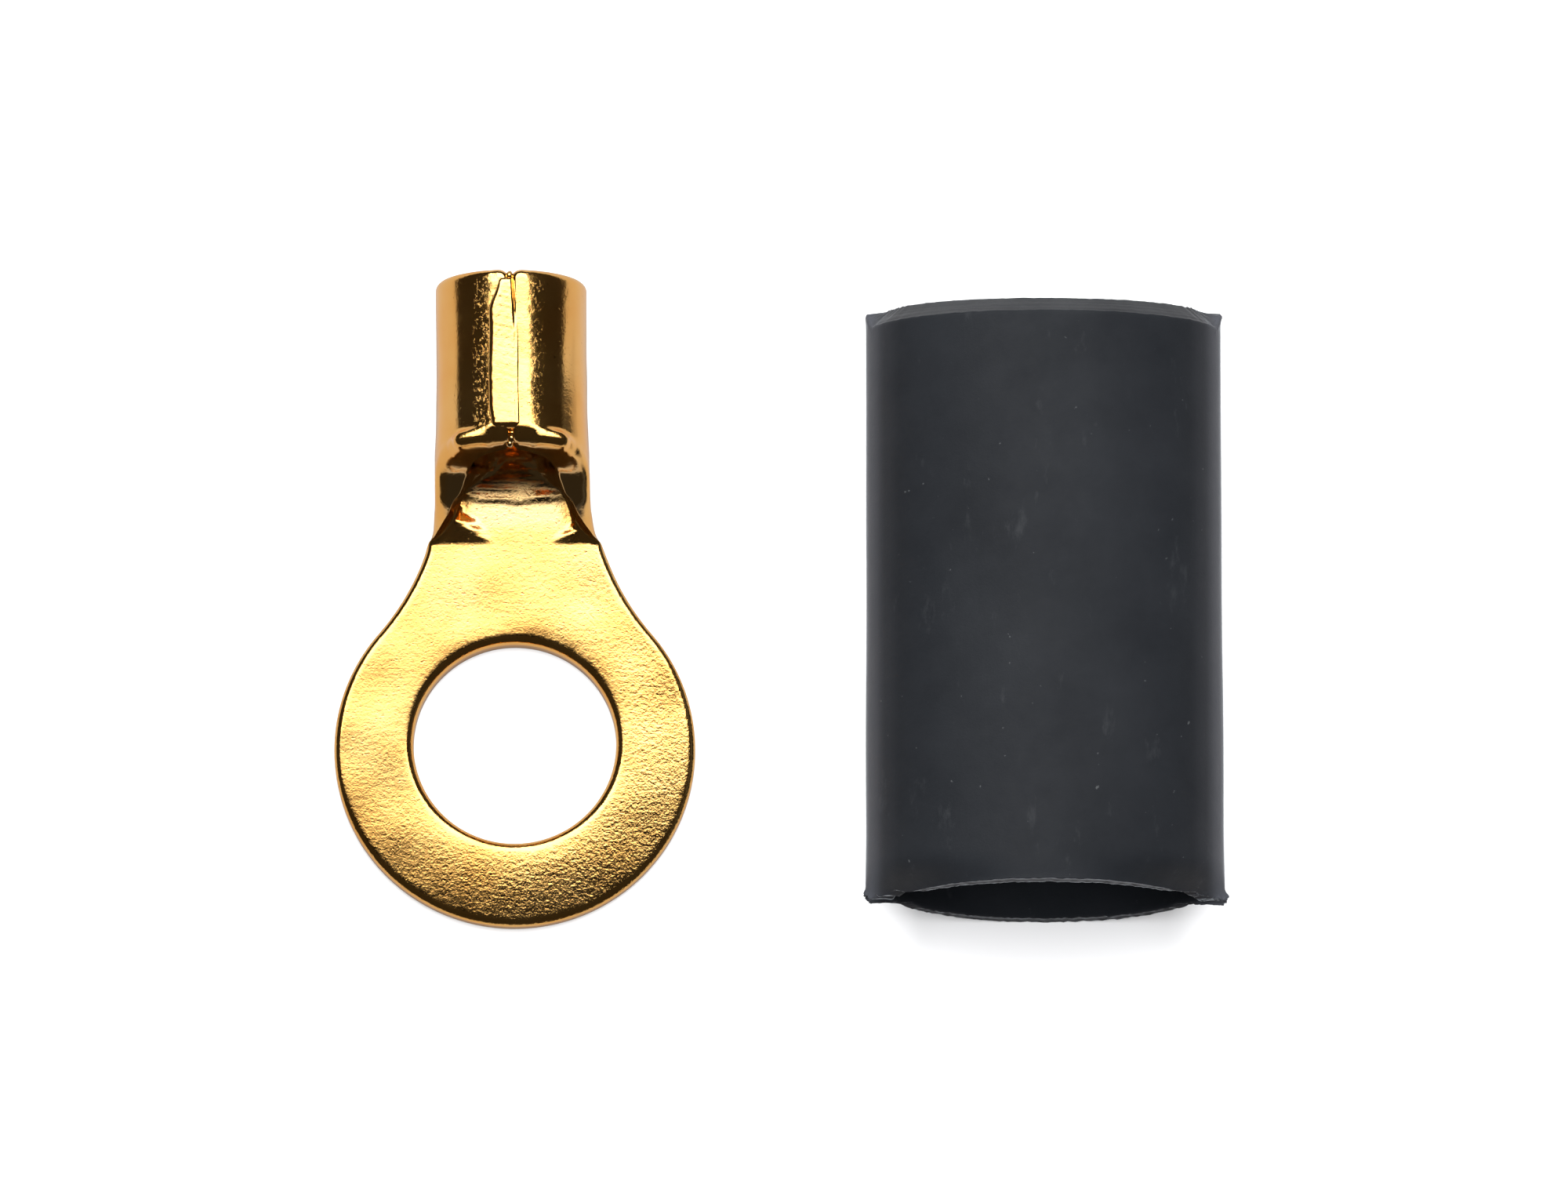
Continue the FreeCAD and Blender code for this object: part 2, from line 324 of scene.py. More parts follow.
def blank_tables():
    y = np.array(KY + BY)
    o = {k: v(y) for k, v in OUT.items()}
    n = len(BY)
    fi = np.array([3.30, 2.74, 2.16, 1.70, 1.36, 1.04, 0.74, 0.44, 0.16, 0.04] + [0.03] * n)
    wi = np.array([3.61, 3.36, 3.15, 2.97, 2.80, 2.65, 2.52, 2.37, 2.24, 2.17] + R_IN)
    ci = np.array([1.20, 1.36, 1.66, 2.08, 2.52, 2.86, 3.05, 3.14, 3.16, 3.17] + [AXIS_Z] * n)
    zi = INN["z"](y)
    hi = np.array([3.00, 2.90, 2.75, 2.60, 2.45, 2.35, 2.28, 2.22, 2.18, 2.17] + R_IN)
    f = (o["f"] + fi) / 2
    l1 = (quarter(o["w"] - o["f"], o["c"] - o["z"]) + quarter(wi - fi, ci - zi)) / 2
    l2 = (quarter(o["w"], o["h"]) + quarter(wi, hi)) / 2
    return curve(y, f), curve(y, l1), curve(y, l2)


BLANK_F, BLANK_1, BLANK_2 = blank_tables()


def blank(y):
    """half flat, then the lengths of the two quarter bends, in the blank."""
    y = np.maximum(y, Y_CREASE)
    return BLANK_F(y), BLANK_1(y), BLANK_2(y)


def bend_pos(u, y):
    """0 on the flat, to 1 where the sheet stands upright, 2 at the crown."""
    fb, l1, l2 = blank(y)
    a = np.abs(u)
    low = np.clip((a - fb) / l1, 0, 1)
    return np.where(a <= fb, 0.0, np.where(a <= fb + l1, low, 1 + (a - fb - l1) / l2))


def u_at(pos, y):
    fb, l1, l2 = blank(y)
    return np.where(pos <= 1, fb + l1 * pos, fb + l1 + l2 * (pos - 1))


def raw_skin(tab, u, y):
    """point and section normal (pointing away from the bend's inside)."""
    yy = np.maximum(y, Y_CREASE)
    f, w, c, z, h = (tab[k](yy) for k in "fwczh")
    fb, l1, l2 = blank(yy)
    s = np.where(u < 0, -1.0, 1.0)
    a = np.abs(u)
    pos = bend_pos(u, yy)
    lag = np.radians(LAG(yy)) if tab is INN else 0.0
    q = np.where(pos < 1, pos * (math.pi / 2 + lag), math.pi / 2 + lag + (pos - 1) * (math.pi / 2 - lag))
    low, flat = q < math.pi / 2, a <= fb
    x = np.where(flat, a * f / fb, np.where(low, f + (w - f) * np.sin(q), w * np.sin(q)))
    zz = np.where(flat, z, np.where(low, c - (c - z) * np.cos(q), c - h * np.cos(q)))
    nx = np.where(flat, 0.0, np.where(low, (c - z) * np.sin(q), h * np.sin(q)))
    nz = np.where(flat, -1.0, np.where(low, -(w - f) * np.cos(q), -w * np.cos(q)))
    k = np.hypot(nx, nz) + 1e-9
    return s * x, zz, s * nx / k, nz / k


EDGE_POS = [0.735, 0.88, 0.99, 1.035, 1.065, 1.085, 1.10, 1.115, 1.145, 1.195, 1.30, 1.52, 1.76, 1.90]
EDGE_Y = [8.45, 8.60, 8.76, 8.88, 9.05, 9.30, 9.70, 10.10, 10.42, 10.75, 11.02, 11.26, 11.41, 11.46]
edge_of = curve(EDGE_POS, EDGE_Y)
CROWN = 0.035          # half gap between the rolled edges, in the blank
CORNER_F, CORNER_R = 0.44, 0.42

wobble = waves(14, 0.9, 3.5, 3)
ripple = waves(40, 0.16, 0.5, 5)
dents = waves(10, 2.5, 6.0, 11)
streaks = waves(36, 0.25, 0.9, 17)


def outer_offset(u, y):
    """unevenness of the outside, along its normal."""
    pos = bend_pos(u, y)
    arc = (2 - pos) * 4.9                        # distance from the crown
    on = step(y, 10.6, 11.4)
    d = 0.0055 * wobble(u, y * 0.45) * on
    # torch heat and flux left the strip beside the seam rough, more on the left
    rough = bell(arc, 0.85, np.where(u < 0, 0.50, 0.22)) * on
    d = d + np.where(u < 0, 0.0065, 0.0035) * ripple(u, y * 0.8) * rough
    # the mouth end is belled out in a ridge, then turns down to the cut rim
    rim = edge_of(np.clip(pos, 0.9, 1.9))
    back = y - rim
    # two raised pads either side of the seam, flat-topped, higher outwards
    top = np.interp(arc, [0.0, 0.90, 2.15, 4.0], [0.70, 0.72, 0.66, 0.5])
    front = np.interp(arc, [0.0, 0.90, 2.15, 4.0], [0.40, 0.34, 0.16, 0.12])
    tall = np.interp(arc, [0.0, 0.78, 0.95, 1.2, 1.5, 1.8, 2.05, 2.2, 2.5, 3.0, 4.0],
                     [0.0, 0.0, 0.03, 0.085, 0.175, 0.29, 0.40, 0.39, 0.19, 0.05, 0.02])
    rise = step(back, top + 0.34, top - 0.02)
    fall = step(back, front - 0.22, front)
    d = d + tall * rise * fall * step(pos, 1.05, 1.3)
    # between them and the seam the lip turns down towards the rim
    d = d - 0.26 * np.clip(1 - back / 0.80, 0, 1) * step(arc, 1.16, 0.90)
    d = d - 0.06 * np.clip(1 - back / 0.22, 0, 1) * step(pos, 1.1, 1.4)
    return d


def inner_offset(u, y):
    """floor of the trough: a fan coined flat, ending in a curved step, ramps
    behind the crease, and creases out to the corners. Positive is up."""
    x = np.abs(u)
    arc_y = 10.32 - 0.15 * bell(u - 0.06, 0, 0.42)
    d = 0.020 * step(y, arc_y - 0.03, arc_y + 0.03) * step(x, 1.0, 0.5) * step(y, 13.0, 11.5)
    # behind that step the floor curves up into the barrel
    d = d + (0.050 * np.clip(y - 10.35, 0, 0.6) ** 2 + 0.060 * np.clip(y - 10.95, 0, 0.6) + 0.10 * np.clip(y - 11.55, 0, 0.9)) * step(y, 16.5, 12.8)
    # ramps that lift the corners of the fan behind the crease
    edge = 0.035 * ripple(3.0, y * 0.55)
    left = step(u, -0.75 + edge, -1.35 + edge)
    right = step(u, 1.35 + edge, 1.95 + edge)
    d = d + 0.150 * np.clip((y - 8.44) / 0.92, 0, 1) * left * step(y, 13.5, 11.2)
    d = d + 0.115 * np.clip((y - 8.44) / 0.66, 0, 1) * right * step(y, 13.5, 11.2)
    fold = curve([8.55, 9.47, 9.94, 10.43, 10.9], [3.3, 2.19, 1.60, 1.15, 0.45])(y)
    side = x - fold
    d = d - 0.014 * np.exp(-(side / 0.06) ** 2) * step(y, 9.8, 10.1) * step(y, 10.75, 10.5)
    d = d + 0.19 * np.clip(side, 0, 1.0) * step(y, 9.7, 10.1) * step(y, 11.8, 10.9)
    # drawn lines where the sheet was stretched into the barrel
    d = d + 0.0050 * streaks(u * 0.45, y * 2.2) * step(y, 9.8, 10.5) * step(y, 13.5, 11.5)
    d = d + 0.0050 * ripple(u, y) * step(y, 10.30, 10.5) * step(y, 13.5, 12.3)
    return d


def top_offset(x, y):
    """the tongue's upper face: punch roll-over and slight warping."""
    r = np.hypot(x, y - RING_OFF)
    ang = np.arctan2(y - RING_OFF, x)
    # rolled down more on the lower right
    lean = 0.14 + 0.86 * (0.5 + 0.5 * np.cos(ang + math.radians(36))) ** 1.7
    d = -0.165 * lean * np.clip((r - 4.9) / 2.58, 0, 1) ** 2 * step(y, 5.0, 1.0)
    d = d - 0.024 * lean * np.clip(r - 4.5, 0, 3) * step(y, 5.0, 1.0)
    d = d + 0.0045 * dents(x, y)
    hole = np.clip((5.2 - np.hypot(x, y)) / 1.0, 0, 1)
    return d - 0.030 * hole ** 2


def set_over(p):
    """the barrel sits a little to the left and is slightly wider than round."""
    y = p[..., 1]
    p[..., 0] = p[..., 0] * (1 + 0.014 * step(y, 8.8, 11.5)) - 0.09 * step(y, 7.6, 9.8) - 0.010 * np.clip(y - 9.8, 0, None)
    return p


def sheet_point(u, y, depth, detail=True):
    """the place at that depth below the top (inner) skin, in blank thicknesses."""
    u, y = np.asarray(u, float), np.asarray(y, float)
    b = step(y, 8.30, 8.66)
    xo, zo, nxo, nzo = raw_skin(OUT, u, y)
    xi, zi, nxi, nzi = raw_skin(INN, u, y)
    if detail:
        do, di = outer_offset(u, y), inner_offset(u, y)
        xo, zo = xo + nxo * do, zo + nzo * do
        xi, zi = xi - nxi * di, zi - nzi * di
        zi_flat = T + top_offset(u, y)
    else:
        zi_flat = T
    xo, zo = u * (1 - b) + xo * b, zo * b
    xi, zi = u * (1 - b) + xi * b, zi_flat * (1 - b) + zi * b
    t = depth / T
    return set_over(np.stack([xi + (xo - xi) * t, y, zi + (zo - zi) * t], -1))


def blank_outline():
    """right half of the blank's cut edge, from the ring's front to the rear."""
    pts, tag = [], []
    for a in np.arange(-math.pi / 2, NECK_ANG, 0.012):
        pts.append((RING_R * math.cos(a), RING_OFF + RING_R * math.sin(a)))
    cx, cy = (RING_R + NECK_R) * math.cos(NECK_ANG), RING_OFF + (RING_R + NECK_R) * math.sin(NECK_ANG)
    for y in np.arange(RING_OFF + RING_R * math.sin(NECK_ANG), Y_CREASE - 0.12, 0.085):
        pts.append((cx - math.sqrt(NECK_R ** 2 - (cy - y) ** 2), y))
    n_tongue = len(pts)
    # trough edge up to the crown corner
    u_end = float(u_at(np.array(2.0), np.array(Y_MOUTH))) - CROWN
    ctrl = [(cx - math.sqrt(NECK_R ** 2 - (cy - Y_CREASE + 0.1) ** 2), Y_CREASE - 0.1)]
    ctrl += [(float(u_at(np.array(p), np.array(q))), q) for p, q in zip(EDGE_POS[1:], EDGE_Y[1:])]
    ctrl = [c for c in ctrl if c[0] < u_end - CORNER_F - 0.25] + [(u_end - CORNER_F - 0.03, 11.487)]
    cu, cv = np.array(ctrl).T
    s = np.concatenate([[0], np.cumsum(np.hypot(np.diff(cu), np.diff(cv)))])
    fu, fv = curve(s, cu), curve(s, cv)
    for q in np.arange(0.0, s[-1], 0.07):
        pts.append((float(fu(q)), float(fv(q))))
    for a in np.linspace(-math.pi / 2, 0, 12):
        y = 11.49 + CORNER_F + CORNER_F * math.sin(a)
        pts.append((float(u_at(np.array(2.0), np.array(y))) - CROWN - CORNER_F * (1 - math.cos(a)), y))
    for y in np.arange(11.49 + CORNER_F + 0.09, Y_REAR - CORNER_R - 0.03, 0.10):
        pts.append((float(u_at(np.array(2.0), np.array(y))) - CROWN, y))
    u_rear = float(u_at(np.array(2.0), np.array(Y_REAR))) - CROWN
    for a in np.linspace(0, math.pi / 2, 12):
        pts.append((u_rear - CORNER_R + CORNER_R * math.cos(a), Y_REAR - CORNER_R + CORNER_R * math.sin(a)))
    for u in np.arange(u_rear - CORNER_R - 0.09, 0.04, -0.10):
        pts.append((u, Y_REAR))
    return np.array(pts), n_tongue


def smooth_loop(v, n):
    for _ in range(n):
        v = (np.roll(v, 1) + 2 * v + np.roll(v, -1)) / 4
    return v


def within(q0, q1, p):
    """p is inside the closed outline q0."""
    up = (q0[:, 1] > p[1]) != (q1[:, 1] > p[1])
    a, b = q0[up], q1[up]
    return bool(np.sum(p[0] < (b[:, 0] - a[:, 0]) * (p[1] - a[:, 1]) / (b[:, 1] - a[:, 1]) + a[:, 0]) % 2)


def make_terminal_mesh():
    half, n_tongue = blank_outline()
    left = half[1:][::-1] * [-1, 1]
    loop = np.vstack([half, [[0.0, Y_REAR]], left])
    n = len(loop)
    tan = np.roll(loop, -1, 0) - np.roll(loop, 1, 0)
    tan /= np.linalg.norm(tan, axis=1)[:, None]
    inward = np.stack([-tan[:, 1], tan[:, 0]], -1)
    y, a = loop[:, 1], np.abs(loop[:, 0])
    rear = y > Y_REAR - 0.02
    seam = (a > 7.9) & ~rear
    r_in = np.where(y < 8.4, 0.30, 0.15)
    r_out = np.where(y < 8.6, 0.20, 0.50)
    r_in[seam], r_out[seam] = 0.06, 0.28
    r_in[rear], r_out[rear] = 0.14, 0.33
    r_in, r_out = smooth_loop(r_in, 8), smooth_loop(r_out, 14)
    k = 84 * 4
    th = -np.arange(k) * 2 * math.pi / k
    hole = HOLE_R * np.stack([np.cos(th), np.sin(th)], -1)
    hole_in = hole / HOLE_R
    h_top, h_bot = np.full(k, 0.36), np.full(k, 0.05)

    verts, faces = [], []

    def ring(base, inw, inset, depth):
        p = base + inw * inset[:, None]
        i0 = sum(len(v) for v in verts)
        verts.append(sheet_point(p[:, 0], p[:, 1], depth))
        return np.arange(i0, i0 + len(p)), p

    def wall(base, inw, ri, ro, m_in, m_out):
        rings = []
        for i in range(m_in + 1):
            q = math.pi / 2 * i / m_in
            rings.append(ring(base, inw, ri * (1 - math.sin(q)), ri * (1 - math.cos(q))))
        for f in (1 / 3, 2 / 3):
            rings.append(ring(base, inw, ri * 0, ri + (T - ro - ri) * f))
        for i in range(m_out, -1, -1):
            q = math.pi / 2 * i / m_out
            rings.append(ring(base, inw, ro * (1 - math.sin(q)), T - ro * (1 - math.cos(q))))
        for (p, _), (q, _) in zip(rings, rings[1:]):
            pn, qn = np.roll(p, -1), np.roll(q, -1)
            faces.extend(zip(p, q, qn, pn))
        return rings[0], rings[-1]

    edge_top, edge_bot = wall(loop, inward, r_in, r_out, 5, 6)
    hole_top, hole_bot = wall(hole, hole_in, h_top, h_bot, 6, 2)

    def fill(outer, inner, depth, flip, pitch):
        (ids_o, p_o), (ids_h, p_h) = outer, inner
        x0, x1 = p_o[:, 0].min(), p_o[:, 0].max()
        y0, y1 = p_o[:, 1].min(), p_o[:, 1].max()
        rows = np.arange(y0, y1, pitch * math.sqrt(3) / 2)
        pts = []
        for j, yy in enumerate(rows):
            xs = np.arange(x0 + (pitch / 2 if j % 2 else 0), x1, pitch)
            pts.append(np.stack([xs, np.full(len(xs), yy)], -1))
        pts = np.vstack(pts)
        # inside the outline, outside the hole, and not too near either
        x, yv = pts[:, 0], pts[:, 1]
        inside = np.zeros(len(pts), bool)
        near = np.full(len(pts), 1e9)
        q0, q1 = p_o, np.roll(p_o, -1, 0)
        for (ax, ay), (bx, by) in zip(q0, q1):
            if ay != by:
                hit = (ay > yv) != (by > yv)
                inside ^= hit & (x < (bx - ax) * (yv - ay) / (by - ay) + ax)
            near = np.minimum(near, (x - ax) ** 2 + (yv - ay) ** 2)
        inside &= near > (0.62 * pitch) ** 2
        hr = np.hypot(p_h[:, 0], p_h[:, 1]).mean()
        inside &= np.hypot(x, yv) > hr + 0.55 * pitch
        pts = pts[inside]
        flat = np.vstack([p_o, p_h, pts])
        no, nh = len(p_o), len(p_h)
        edges = [(i, (i + 1) % no) for i in range(no)] + [(no + i, no + (i + 1) % nh) for i in range(nh)]
        out = delaunay_2d_cdt([Vector(p) for p in flat], edges, [], 1, 1e-9, True)
        back = [o[0] for o in out[3]]
        i0 = sum(len(v) for v in verts)
        verts.append(sheet_point(pts[:, 0], pts[:, 1], depth))
        ids = np.concatenate([ids_o, ids_h, np.arange(i0, i0 + len(pts))])
        for tri in out[2]:
            t = [back[v] for v in tri]
            cxy = flat[t].mean(0)
            if math.hypot(*cxy) < hr:
                continue
            if max(t) < no and not within(q0, q1, cxy):
                continue
            (ax, ay), (bx, by), (cx, cy) = flat[t]
            area = (bx - ax) * (cy - ay) - (cx - ax) * (by - ay)
            t = [int(ids[v]) for v in t]
            if (area > 0) == flip:
                t = t[::-1]
            faces.append(tuple(t))

    fill(edge_top, hole_top, 0.0, False, 0.118)
    fill(edge_bot, hole_bot, T, True, 0.128)
    return np.vstack(verts), faces


def make_bead():
    """braze drawn into the seam: a low ridge, open in a crack beside it near
    the wire end, and pitted where it stops short of the mouth."""
    ys = np.concatenate([np.linspace(12.14, 12.45, 9), np.arange(12.51, 18.30, 0.06), np.linspace(18.34, 18.66, 9)])
    m = 56
    verts, faces = [], []
    jit = waves(10, 1.2, 4.0, 21)
    fine = waves(30, 0.14, 0.4, 22)
    for j, y in enumerate(ys):
        end = min(y - ys[0], ys[-1] - y)
        e = max(math.sqrt(max(0.0, 1 - max(0.0, 1 - end / 0.30) ** 2)), 0.08) if end < 0.30 else 1.0
        ro = float(OUT["h"](np.array(y)))
        xl = -0.90 + 0.40 * float(step(y, 17.1, 18.5)) + 0.10 * float(step(y, 13.2, 12.3)) + 0.016 * float(jit(y, 0.0))
        xr = 0.42 - 0.06 * float(step(y, 16.2, 17.0)) - 0.12 * float(step(y, 17.4, 18.5)) + 0.012 * float(jit(y, 9.0))
        mid, half = (xl + xr) / 2, (xr - xl) / 2 * (0.35 + 0.65 * e)
        base = AXIS_Z + ro - 0.150 - 0.12 * (1 - e)
        h = 0.190 * e
        crack = (0.014 + 0.10 * float(step(y, 16.3, 17.6))) * e
        for i in range(m):
            q = 2 * math.pi * i / m
            cx, cz = math.cos(q), math.sin(q)
            x = mid + half * math.copysign(abs(cx) ** 0.8, cx)
            t = min(abs(x - mid) / half, 1.0)
            z = base + (h * (1 - t ** 5) ** 0.5 if cz > 0 else -0.30 * e * (1 - t ** 4) ** 0.5)
            if cz > 0:
                z += (0.0020 * float(fine(x, y)) - 0.022 * ((x + 0.30) / 0.6) ** 2) * cz
                z -= crack * math.exp(-((x - 0.20 + 0.10 * float(step(y, 17.2, 18.5)) - 0.02 * math.sin(y * 2.1)) / 0.045) ** 2)
            verts.append((x, y, z))
    n = len(ys)
    for j in range(n - 1):
        for i in range(m):
            a, b = j * m + i, j * m + (i + 1) % m
            faces.append((a, b, b + m, a + m)[::-1])
    faces.append(tuple(range(m)))
    faces.append(tuple(range((n - 1) * m, n * m))[::-1])
    # a drop of braze caught in the notch at the wire end, and grains in the other
    for (cx, cy, cz, r) in ((-0.02, 18.66, AXIS_Z + 2.93, 0.15), (0.05, 12.02, AXIS_Z + 2.84, 0.10),
                            (-0.10, 11.90, AXIS_Z + 2.80, 0.075), (0.13, 11.83, AXIS_Z + 2.78, 0.06),
                            (0.03, 11.84, AXIS_Z + 2.64, 0.17), (-0.05, 11.62, AXIS_Z + 2.58, 0.14)):
        i0, a, b = len(verts), 14, 10
        verts.append((cx, cy, cz + r))
        for i in range(1, b):
            t = math.pi * i / b
            for k in range(a):
                q = 2 * math.pi * k / a
                rr = r * (1 + 0.10 * float(fine(cx * 40 + k, i)))
                verts.append((cx + rr * math.sin(t) * math.cos(q), cy + rr * 1.25 * math.sin(t) * math.sin(q), cz + r * math.cos(t)))
        verts.append((cx, cy, cz - r))
        for k in range(a):
            faces.append((i0, i0 + 1 + k, i0 + 1 + (k + 1) % a))
            faces.append((i0 + 1 + (b - 2) * a + (k + 1) % a, i0 + 1 + (b - 2) * a + k, i0 + 1 + (b - 1) * a))
            for i in range(b - 2):
                p, q = i0 + 1 + i * a + k, i0 + 1 + i * a + (k + 1) % a
                faces.append((p, p + a, q + a, q))
    return np.array(verts), faces


tv, tf = make_terminal_mesh()
bv, bf = make_bead()
k0 = len(tv)
tv = np.vstack([tv, set_over(bv)])
terminal = new_object("terminal_plated", tv, tf + [tuple(int(i) + k0 for i in f) for f in bf], gold)
# where the plating is rough beside the seam, and where the tongue is grainy
tx, ty, tz = tv.T
strip = step(ty, 11.9, 12.3) * step(ty, 18.7, 18.4) * (tz > 4.6)
worn = strip * (step(tx, -2.1, -1.15) ** 1.5 * step(tx, -0.95, -1.10) + 0.16 * step(tx, 2.1, 1.0) * step(tx, 0.45, 0.70))
rr, ra = np.hypot(tx, ty), np.arctan2(ty, tx)
grainy = np.where(ty < 8.4, 0.40 + 1.15 * (0.5 + 0.5 * np.cos(ra + 0.75)) ** 1.5 * step(rr, 4.0, 5.6), 0.45)
# painted shade mask: inside the trough and the bore, from y 8.8 mm on, where the gold's base colour is dulled to
# darken its reflections
trough_shade = step(ty, 8.8, 9.5) * step(np.hypot(tx, tz - 3.16), 3.05, 2.75)
for label, values in (("worn", worn), ("grainy", grainy), ("trough_shade", trough_shade)):
    attr = terminal.data.attributes.new(label, "FLOAT", "POINT")
    attr.data.foreach_set("value", values.astype(np.float32))
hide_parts("ring_terminal")
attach(terminal, "root")

# ------------------------------------------------------------------- sleeve
# One closed grid: along the outside, over the slanted far cut, back along the
# bore and across the near cut. The near end is still pinched towards a lens
# shape by the cutter, with its two folds pressed into ragged ears.
S_X, S_B, S_A, S_W = 21.90, 4.40, 7.35, 0.90
S_Y0, S_Y1, S_LINE = -7.45, 17.30, 16.60
swell_a, swell_b = waves(6, 9, 22, 31), waves(8, 3, 9, 32)
fray, grain = waves(26, 0.35, 1.6, 33), waves(30, 0.12, 0.5, 34)
scrape = waves(24, 0.05, 0.22, 35)


def sleeve_section(q, y, wall):
    """outline at y: the outside for wall 0, the bore for wall 1."""
    c, s = np.cos(q), np.sin(q)
    m = step(y, -5.7, S_Y0 + 0.1) ** 2
    a_out = S_A + 0.05 * step(y, -4.0, S_Y0) + 0.05 * step(y, -6.8, -7.3) + 0.012 * swell_a(y, 0.0)
    a = a_out - wall * (S_W + 0.05 * m)
    b = S_B - wall * S_W
    x = a * c
    oval = b * np.abs(s)
    lip = 0.36 - 0.30 * wall
    t = np.minimum(np.abs(x) / (6.45 - wall * 0.20), 1)
    flat = lip * np.sqrt(np.clip(1 - np.abs(c) ** 8, 0, 1))
    lens = np.minimum(np.hypot(math.sqrt(b * b - lip * lip) * (1 - t ** 2.4), flat), b)
    z = np.where(s < 0, -1, 1) * (oval * (1 - m) + lens * m)
    z = z + 0.018 * swell_b(x, y * 0.6) * (1 - m) * np.abs(s) * np.where(s < 0, 0.3, 1.0) * (1 - wall)
    return x, z


def make_sleeve_mesh():
    m = 336
    q = np.arange(m) * 2 * math.pi / m
    c, s = np.cos(q), np.sin(q)
    # crowd the points towards the folds
    q = q - 0.10 * np.sin(2 * q)
    c, s = np.cos(q), np.sin(q)
    around = q * 5.9
    fold = step(np.abs(c), 0.86, 0.95)
    xa = S_A * np.abs(c)
    ear = np.where(c < 0, np.interp(xa, [5.6, 6.15, 6.70, 6.88, 7.08, 7.30, 7.35], [0, 0.20, 0.0, 0.07, -0.05, 0.22, 0.34]),
                   np.interp(xa, [5.6, 6.10, 6.50, 6.90, 7.15, 7.30, 7.35], [0, 0.13, 0.05, -0.03, -0.10, 0.04, 0.22]))
    near_cut = S_Y0 + 0.06 + 0.16 * step(s, 0.02, 0.30) + 0.007 * fray(around, 0) + 0.004 * grain(around, 3.0)
    near_cut = near_cut + 0.010 * grain(around, 7.0) * step(-s, 0.1, 0.4) + ear + fold * 0.025 * grain(around * 1.2, 9.0)
    up = step(s, 0.05, 0.26)
    far_tip = (S_Y1 + 0.10 * c * c) * up + (S_Y1 + 0.10) * (1 - up) + 0.005 * fray(around, 20) + 0.003 * grain(around, 11)
    far_tip = far_tip + fold * 0.035 * grain(around * 1.2, 31)
    far_line = S_LINE * up + (far_tip - 0.05) * (1 - up) + 0.010 * fray(around, 27) * up
    rows, cut = [], []

    def add(y, wall, is_cut, grow=0.0, lift=None):
        y = np.broadcast_to(y, q.shape)
        x0, z0 = sleeve_section(q, y, 0.0)
        x1, z1 = sleeve_section(q, y, 1.0)
        x, z = x0 + (x1 - x0) * wall, z0 + (z1 - z0) * wall
        if lift is not None:
            x, z = x + c * lift, z + s * lift
        rows.append(np.stack([S_X + x * (1 + grow), y, S_B + z * (1 + grow)], -1))
        cut.append(is_cut)

    # outside, from the near cut to the far cut line
    body = np.concatenate([[0.0, 0.03, 0.08, 0.16, 0.28, 0.45], np.arange(0.7, 24.0 - 0.6, 0.26), [23.45, 23.65, 23.82, 23.94]])
    for d in body:
        f = d / 24.05
        y = near_cut * (1 - f) + far_line * f
        burr = 0.009 * math.exp(-d / 0.06) - 0.006 * math.exp(-((d - 0.22) / 0.10) ** 2)
        spur = 0.045 * math.exp(-(d / 0.15) ** 2) + 0.030 * math.exp(-((24.0 - d) / 0.20) ** 2)
        add(y, 0.0, False, lift=burr + step(np.abs(c), 0.93, 0.99) * spur * (0.8 + 0.6 * fray(around * 2.2, 3.0) + 0.8 * (c > 0)))
    # slanted far cut with scraped lines running round it
    n = 18
    for i in range(n + 1):
        t = i / n
        y = far_line * (1 - t) + far_tip * t
        groove = 0.007 * float(scrape(t * 0.9, 0.0)) + 0.006 * scrape(t * 0.9 + 0 * q, around * 0.012)
        edge = 0.014 * math.exp(-((t - 0.03) / 0.05) ** 2)
        add(y, 0.93 * t + 0.02, True, lift=(groove * step(t, 0, 0.1) * step(t, 1.0, 0.9) + edge) * up)
    # bore
    for d in np.concatenate([[0.03, 0.10, 0.25], np.arange(0.6, 24.4, 0.60), [24.45, 24.60, 24.68]]):
        f = d / 24.72
        y = far_tip * (1 - f) + near_cut * f
        add(y, 1.0, False)
    # near cut, slightly dished between its two lips
    for i in range(7):
        t = 1 - (i + 0.5) / 7
        add(near_cut + 0.03 * math.sin(math.pi * t) + 0.008 * grain(around * 1.5, t * 3), t, False)
    v = np.array(rows)
    v[:, :, 2] = np.maximum(v[:, :, 2], 0.004)
    k = len(rows)
    faces, mats = [], []
    for j in range(k):
        j2 = (j + 1) % k
        for i in range(m):
            i2 = (i + 1) % m
            faces.append((j * m + i, j2 * m + i, j2 * m + i2, j * m + i2))
            mats.append(1 if cut[j] and (cut[j2] or j2 == 0) else 0)
    return v.reshape(-1, 3), faces, mats


sv, sf, sm = make_sleeve_mesh()
sleeve = new_object("sleeve_tube", sv, sf, shrink)
sleeve.data.materials.append(make_shrink("shrink_cut"))
if len(sm) == len(sleeve.data.polygons):
    sleeve.data.polygons.foreach_set("material_index", sm)
# painted sheen mask: paler colour towards both side folds, set by the distance across from the tube's middle
side = np.abs(sv[:, 0] - S_X)
attr = sleeve.data.attributes.new("edge_sheen", "FLOAT", "POINT")
attr.data.foreach_set("value", (0.16 * step(side, 5.9, 6.7) + 0.84 * step(side, 6.55, 7.25)).astype(np.float32))
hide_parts("heat_shrink_sleeve")
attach(sleeve, "root")


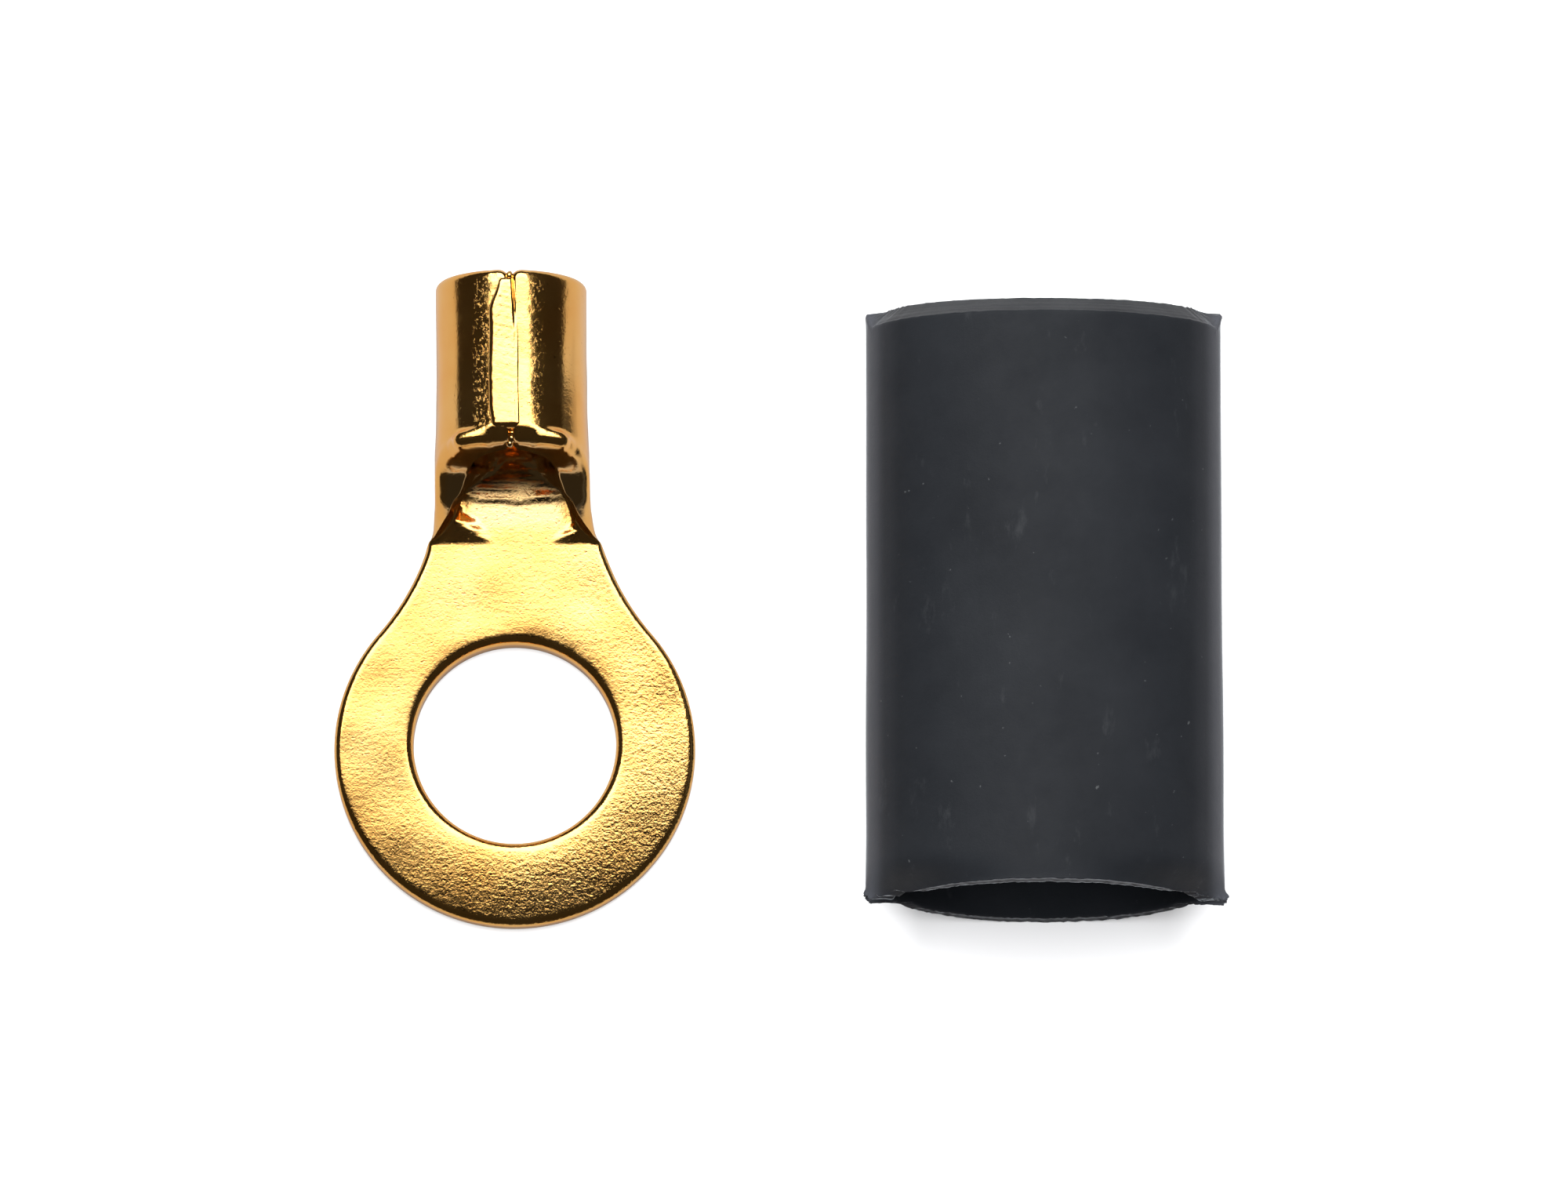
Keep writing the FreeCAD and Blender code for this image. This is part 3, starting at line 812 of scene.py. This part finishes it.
# ------------------------------------------------------------------- stage
floor_me = bpy.data.meshes.new("floor")
S = 1.6
floor_me.from_pydata([(-S, -S, 0), (S, -S, 0), (S, S, 0), (-S, S, 0)], [], [(0, 1, 2, 3)])
floor = bpy.data.objects.new("floor", floor_me)
bpy.context.scene.collection.objects.link(floor)
floor.location = (0.011, 0.006, -0.00001)
fm, fn, fl, fb = material("floor_white")
fpath = fn.new("ShaderNodeLightPath")
fmix = fn.new("ShaderNodeMixRGB")
fmix.inputs["Color1"].default_value = (0.90, 0.905, 0.92, 1)
fmix.inputs["Color2"].default_value = (0.31, 0.285, 0.28, 1)
fl.new(fpath.outputs["Is Glossy Ray"], fmix.inputs["Fac"])
fl.new(fmix.outputs["Color"], fb.inputs["Base Color"])
fb.inputs["Roughness"].default_value = 0.7
fb.inputs["Specular IOR Level"].default_value = 0.2
floor_me.materials.append(fm)

world = bpy.data.worlds.new("studio")
bpy.context.scene.world = world
world.use_nodes = True
wn, wl = world.node_tree.nodes, world.node_tree.links
wn.clear()
bg = wn.new("ShaderNodeBackground")
bg.inputs["Color"].default_value = (1.0, 0.86, 0.66, 1)
bg.inputs["Strength"].default_value = 0.030
seen = wn.new("ShaderNodeBackground")
seen.inputs["Color"].default_value = (0.86, 0.87, 0.89, 1)
path = wn.new("ShaderNodeLightPath")
pick = wn.new("ShaderNodeMixShader")
wl.new(path.outputs["Is Camera Ray"], pick.inputs["Fac"])
wl.new(bg.outputs[0], pick.inputs[1])
wl.new(seen.outputs[0], pick.inputs[2])
wout = wn.new("ShaderNodeOutputWorld")
wl.new(pick.outputs[0], wout.inputs["Surface"])

# softbox overhead, a little behind, fading towards the camera's side
H, HALF, Y0, Y1 = 0.32, 0.176, -0.02, 0.42
panel_me = bpy.data.meshes.new("softbox")
panel_me.from_pydata([(-HALF, Y0, H), (HALF, Y0, H), (HALF, Y1, H), (-HALF, Y1, H)], [], [(0, 3, 2, 1)])
panel = bpy.data.objects.new("softbox", panel_me)
bpy.context.scene.collection.objects.link(panel)
panel.visible_camera = False
panel.visible_shadow = False
pm = bpy.data.materials.new("softbox_glow")
pm.use_nodes = True
pn, pl = pm.node_tree.nodes, pm.node_tree.links
pn.clear()
ptc = pn.new("ShaderNodeTexCoord")
psep = pn.new("ShaderNodeSeparateXYZ")
pl.new(ptc.outputs["Object"], psep.inputs[0])
pr = pn.new("ShaderNodeMapRange")
pr.interpolation_type = "SMOOTHSTEP"
for k, q in (("From Min", 0.024), ("From Max", 0.130), ("To Min", 0.0), ("To Max", 4.5)):
    pr.inputs[k].default_value = q
pl.new(psep.outputs["Y"], pr.inputs["Value"])
pe = pn.new("ShaderNodeEmission")
pe.inputs["Color"].default_value = (1.0, 0.995, 0.985, 1)
pl.new(pr.outputs["Result"], pe.inputs["Strength"])
po = pn.new("ShaderNodeOutputMaterial")
pl.new(pe.outputs[0], po.inputs["Surface"])
panel_me.materials.append(pm)

fill = bpy.data.lights.new("fill", "AREA")
fill.shape = "SQUARE"
fill.size = 0.9
fill.energy = 14.0
fill_ob = bpy.data.objects.new("fill", fill)
bpy.context.scene.collection.objects.link(fill_ob)
fill_ob.location = (0.011, 0.05, 0.75)
fill_ob.visible_glossy = False
fill_ob.visible_camera = False

# ------------------------------------------------------------------ camera
cam = bpy.data.cameras.new("camera")
cam.sensor_width = 36.0
cam.lens = 360.0
cam.clip_start, cam.clip_end = 0.01, 10.0
cam_ob = bpy.data.objects.new("camera", cam)
bpy.context.scene.collection.objects.link(cam_ob)
target = Vector((0.01116, 0.00650, 0.0))
tilt = math.radians(12.0)
cam_ob.location = target + 0.652 * Vector((0, -math.sin(tilt), math.cos(tilt)))
cam_ob.rotation_euler = (target - cam_ob.location).to_track_quat("-Z", "Y").to_euler()
bpy.context.scene.camera = cam_ob
bpy.context.scene.view_settings.view_transform = "Standard"
